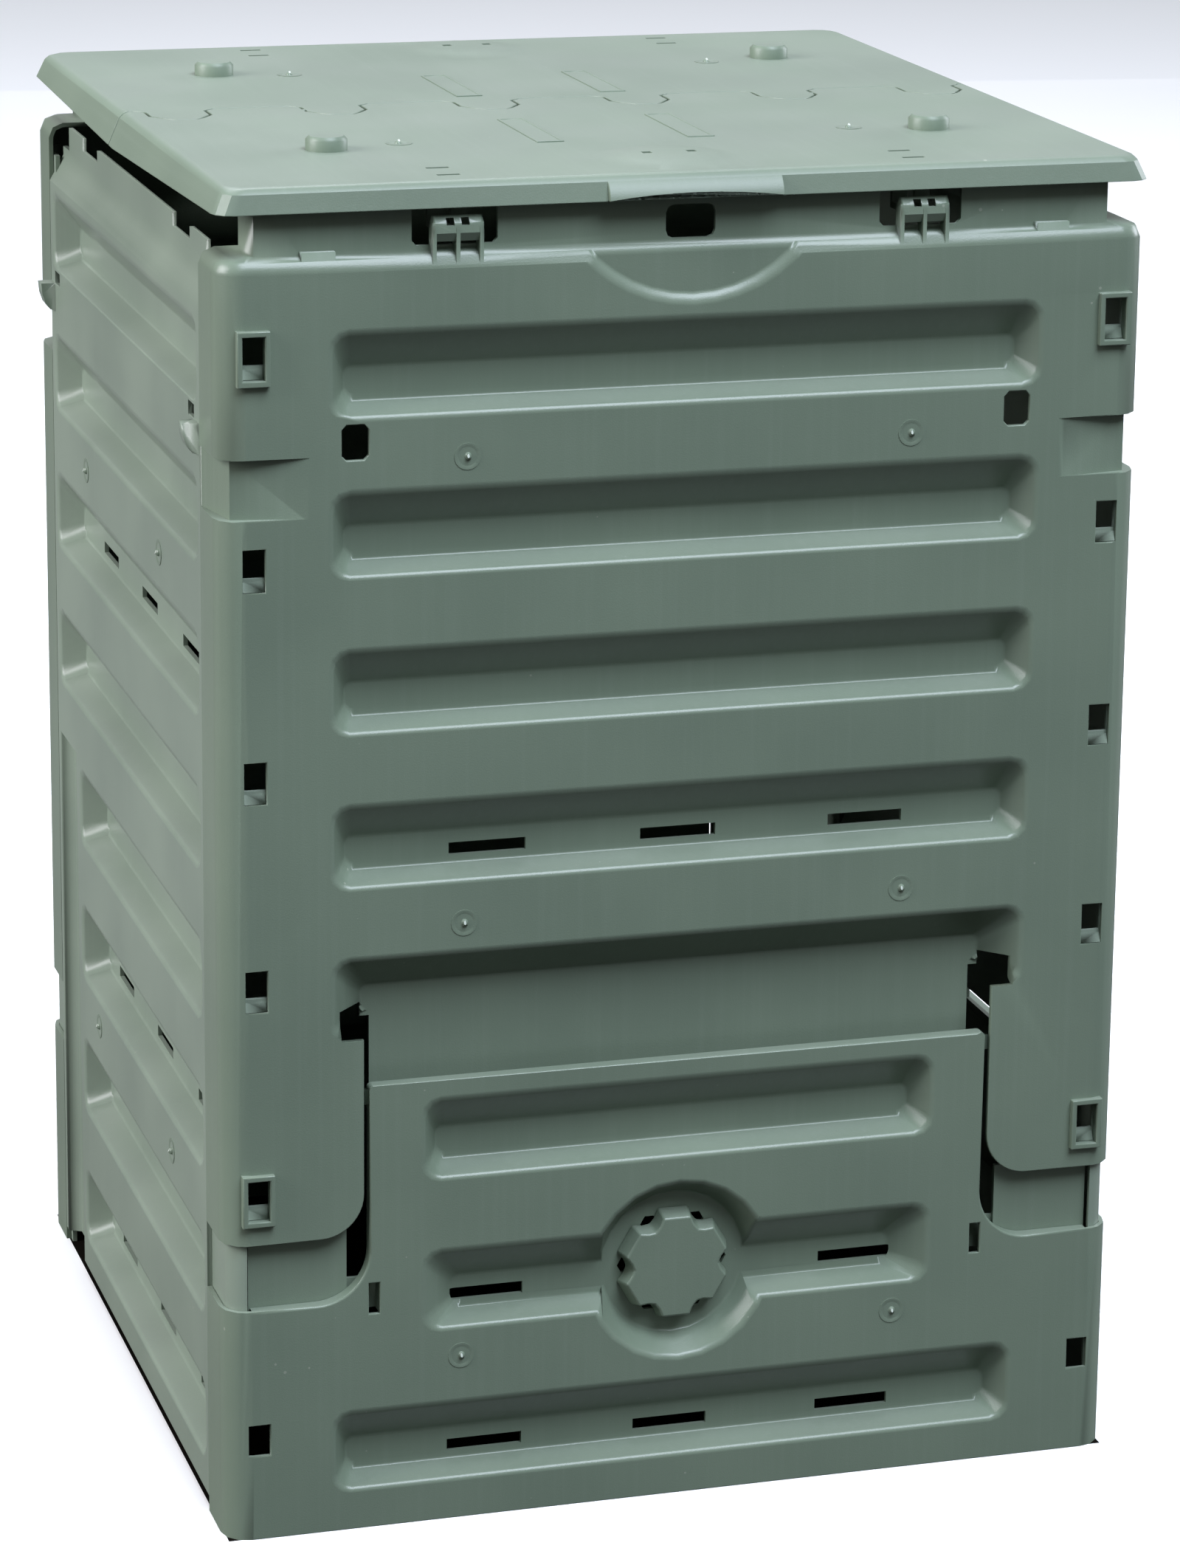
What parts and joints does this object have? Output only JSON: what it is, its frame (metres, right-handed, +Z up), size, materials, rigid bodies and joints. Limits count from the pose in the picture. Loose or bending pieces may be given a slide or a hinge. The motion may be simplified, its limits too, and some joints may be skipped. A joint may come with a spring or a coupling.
{
  "type": "compost bin",
  "caption": "Free-standing snap-together garden compost bin with grooved, vented walls, lift-up emptying flaps, rotary air dials and a folding, tilting lid.",
  "frame": {"origin": "on the ground, in the middle of the bin's square plan", "axes": "+Z up, -Y towards the front flap shown in the picture, +X to the right seen from the front"},
  "size_m": [0.62, 0.6096, 0.88],
  "materials": {
    "moulded_plastic": "satin"
  },
  "bodies": {
    "bin": {"front_wall": "moulded_plastic", "rear_wall": "moulded_plastic", "left_wall": "moulded_plastic", "right_wall": "moulded_plastic"},
    "front_flap_body": {"front_flap": "moulded_plastic"},
    "rear_flap_body": {"rear_flap": "moulded_plastic"},
    "front_dial_body": {"front_vent_dial": "moulded_plastic"},
    "rear_dial_body": {"rear_vent_dial": "moulded_plastic"},
    "lid_rear_body": {"lid_rear": "moulded_plastic"},
    "lid_front_body": {"lid_front": "moulded_plastic"}
  },
  "joints": [
    {"name": "front_flap_lift", "type": "slide", "parent": "bin", "child": "front_flap_body", "axis": [0, 0, 1], "range_m": [0, 0.042]},
    {"name": "rear_flap_lift", "type": "slide", "parent": "bin", "child": "rear_flap_body", "axis": [0, 0, 1], "range_m": [0, 0.042]},
    {"name": "front_dial_turn", "type": "hinge", "parent": "front_flap_body", "child": "front_dial_body", "pos_m": [0, -0.282, 0.155], "axis": [0, 1, 0], "range_deg": [0, 30]},
    {"name": "rear_dial_turn", "type": "hinge", "parent": "rear_flap_body", "child": "rear_dial_body", "pos_m": [0, 0.282, 0.155], "axis": [0, -1, 0], "range_deg": [0, 30]},
    {"name": "lid_tilt", "type": "hinge", "parent": "bin", "child": "lid_rear_body", "pos_m": [0, 0.289, 0.841], "axis": [-1, 0, 0], "range_deg": [0, 95]},
    {"name": "lid_fold", "type": "hinge", "parent": "lid_rear_body", "child": "lid_front_body", "pos_m": [0, 0, 0.8692], "axis": [-1, 0, 0], "range_deg": [0, 160]}
  ]
}
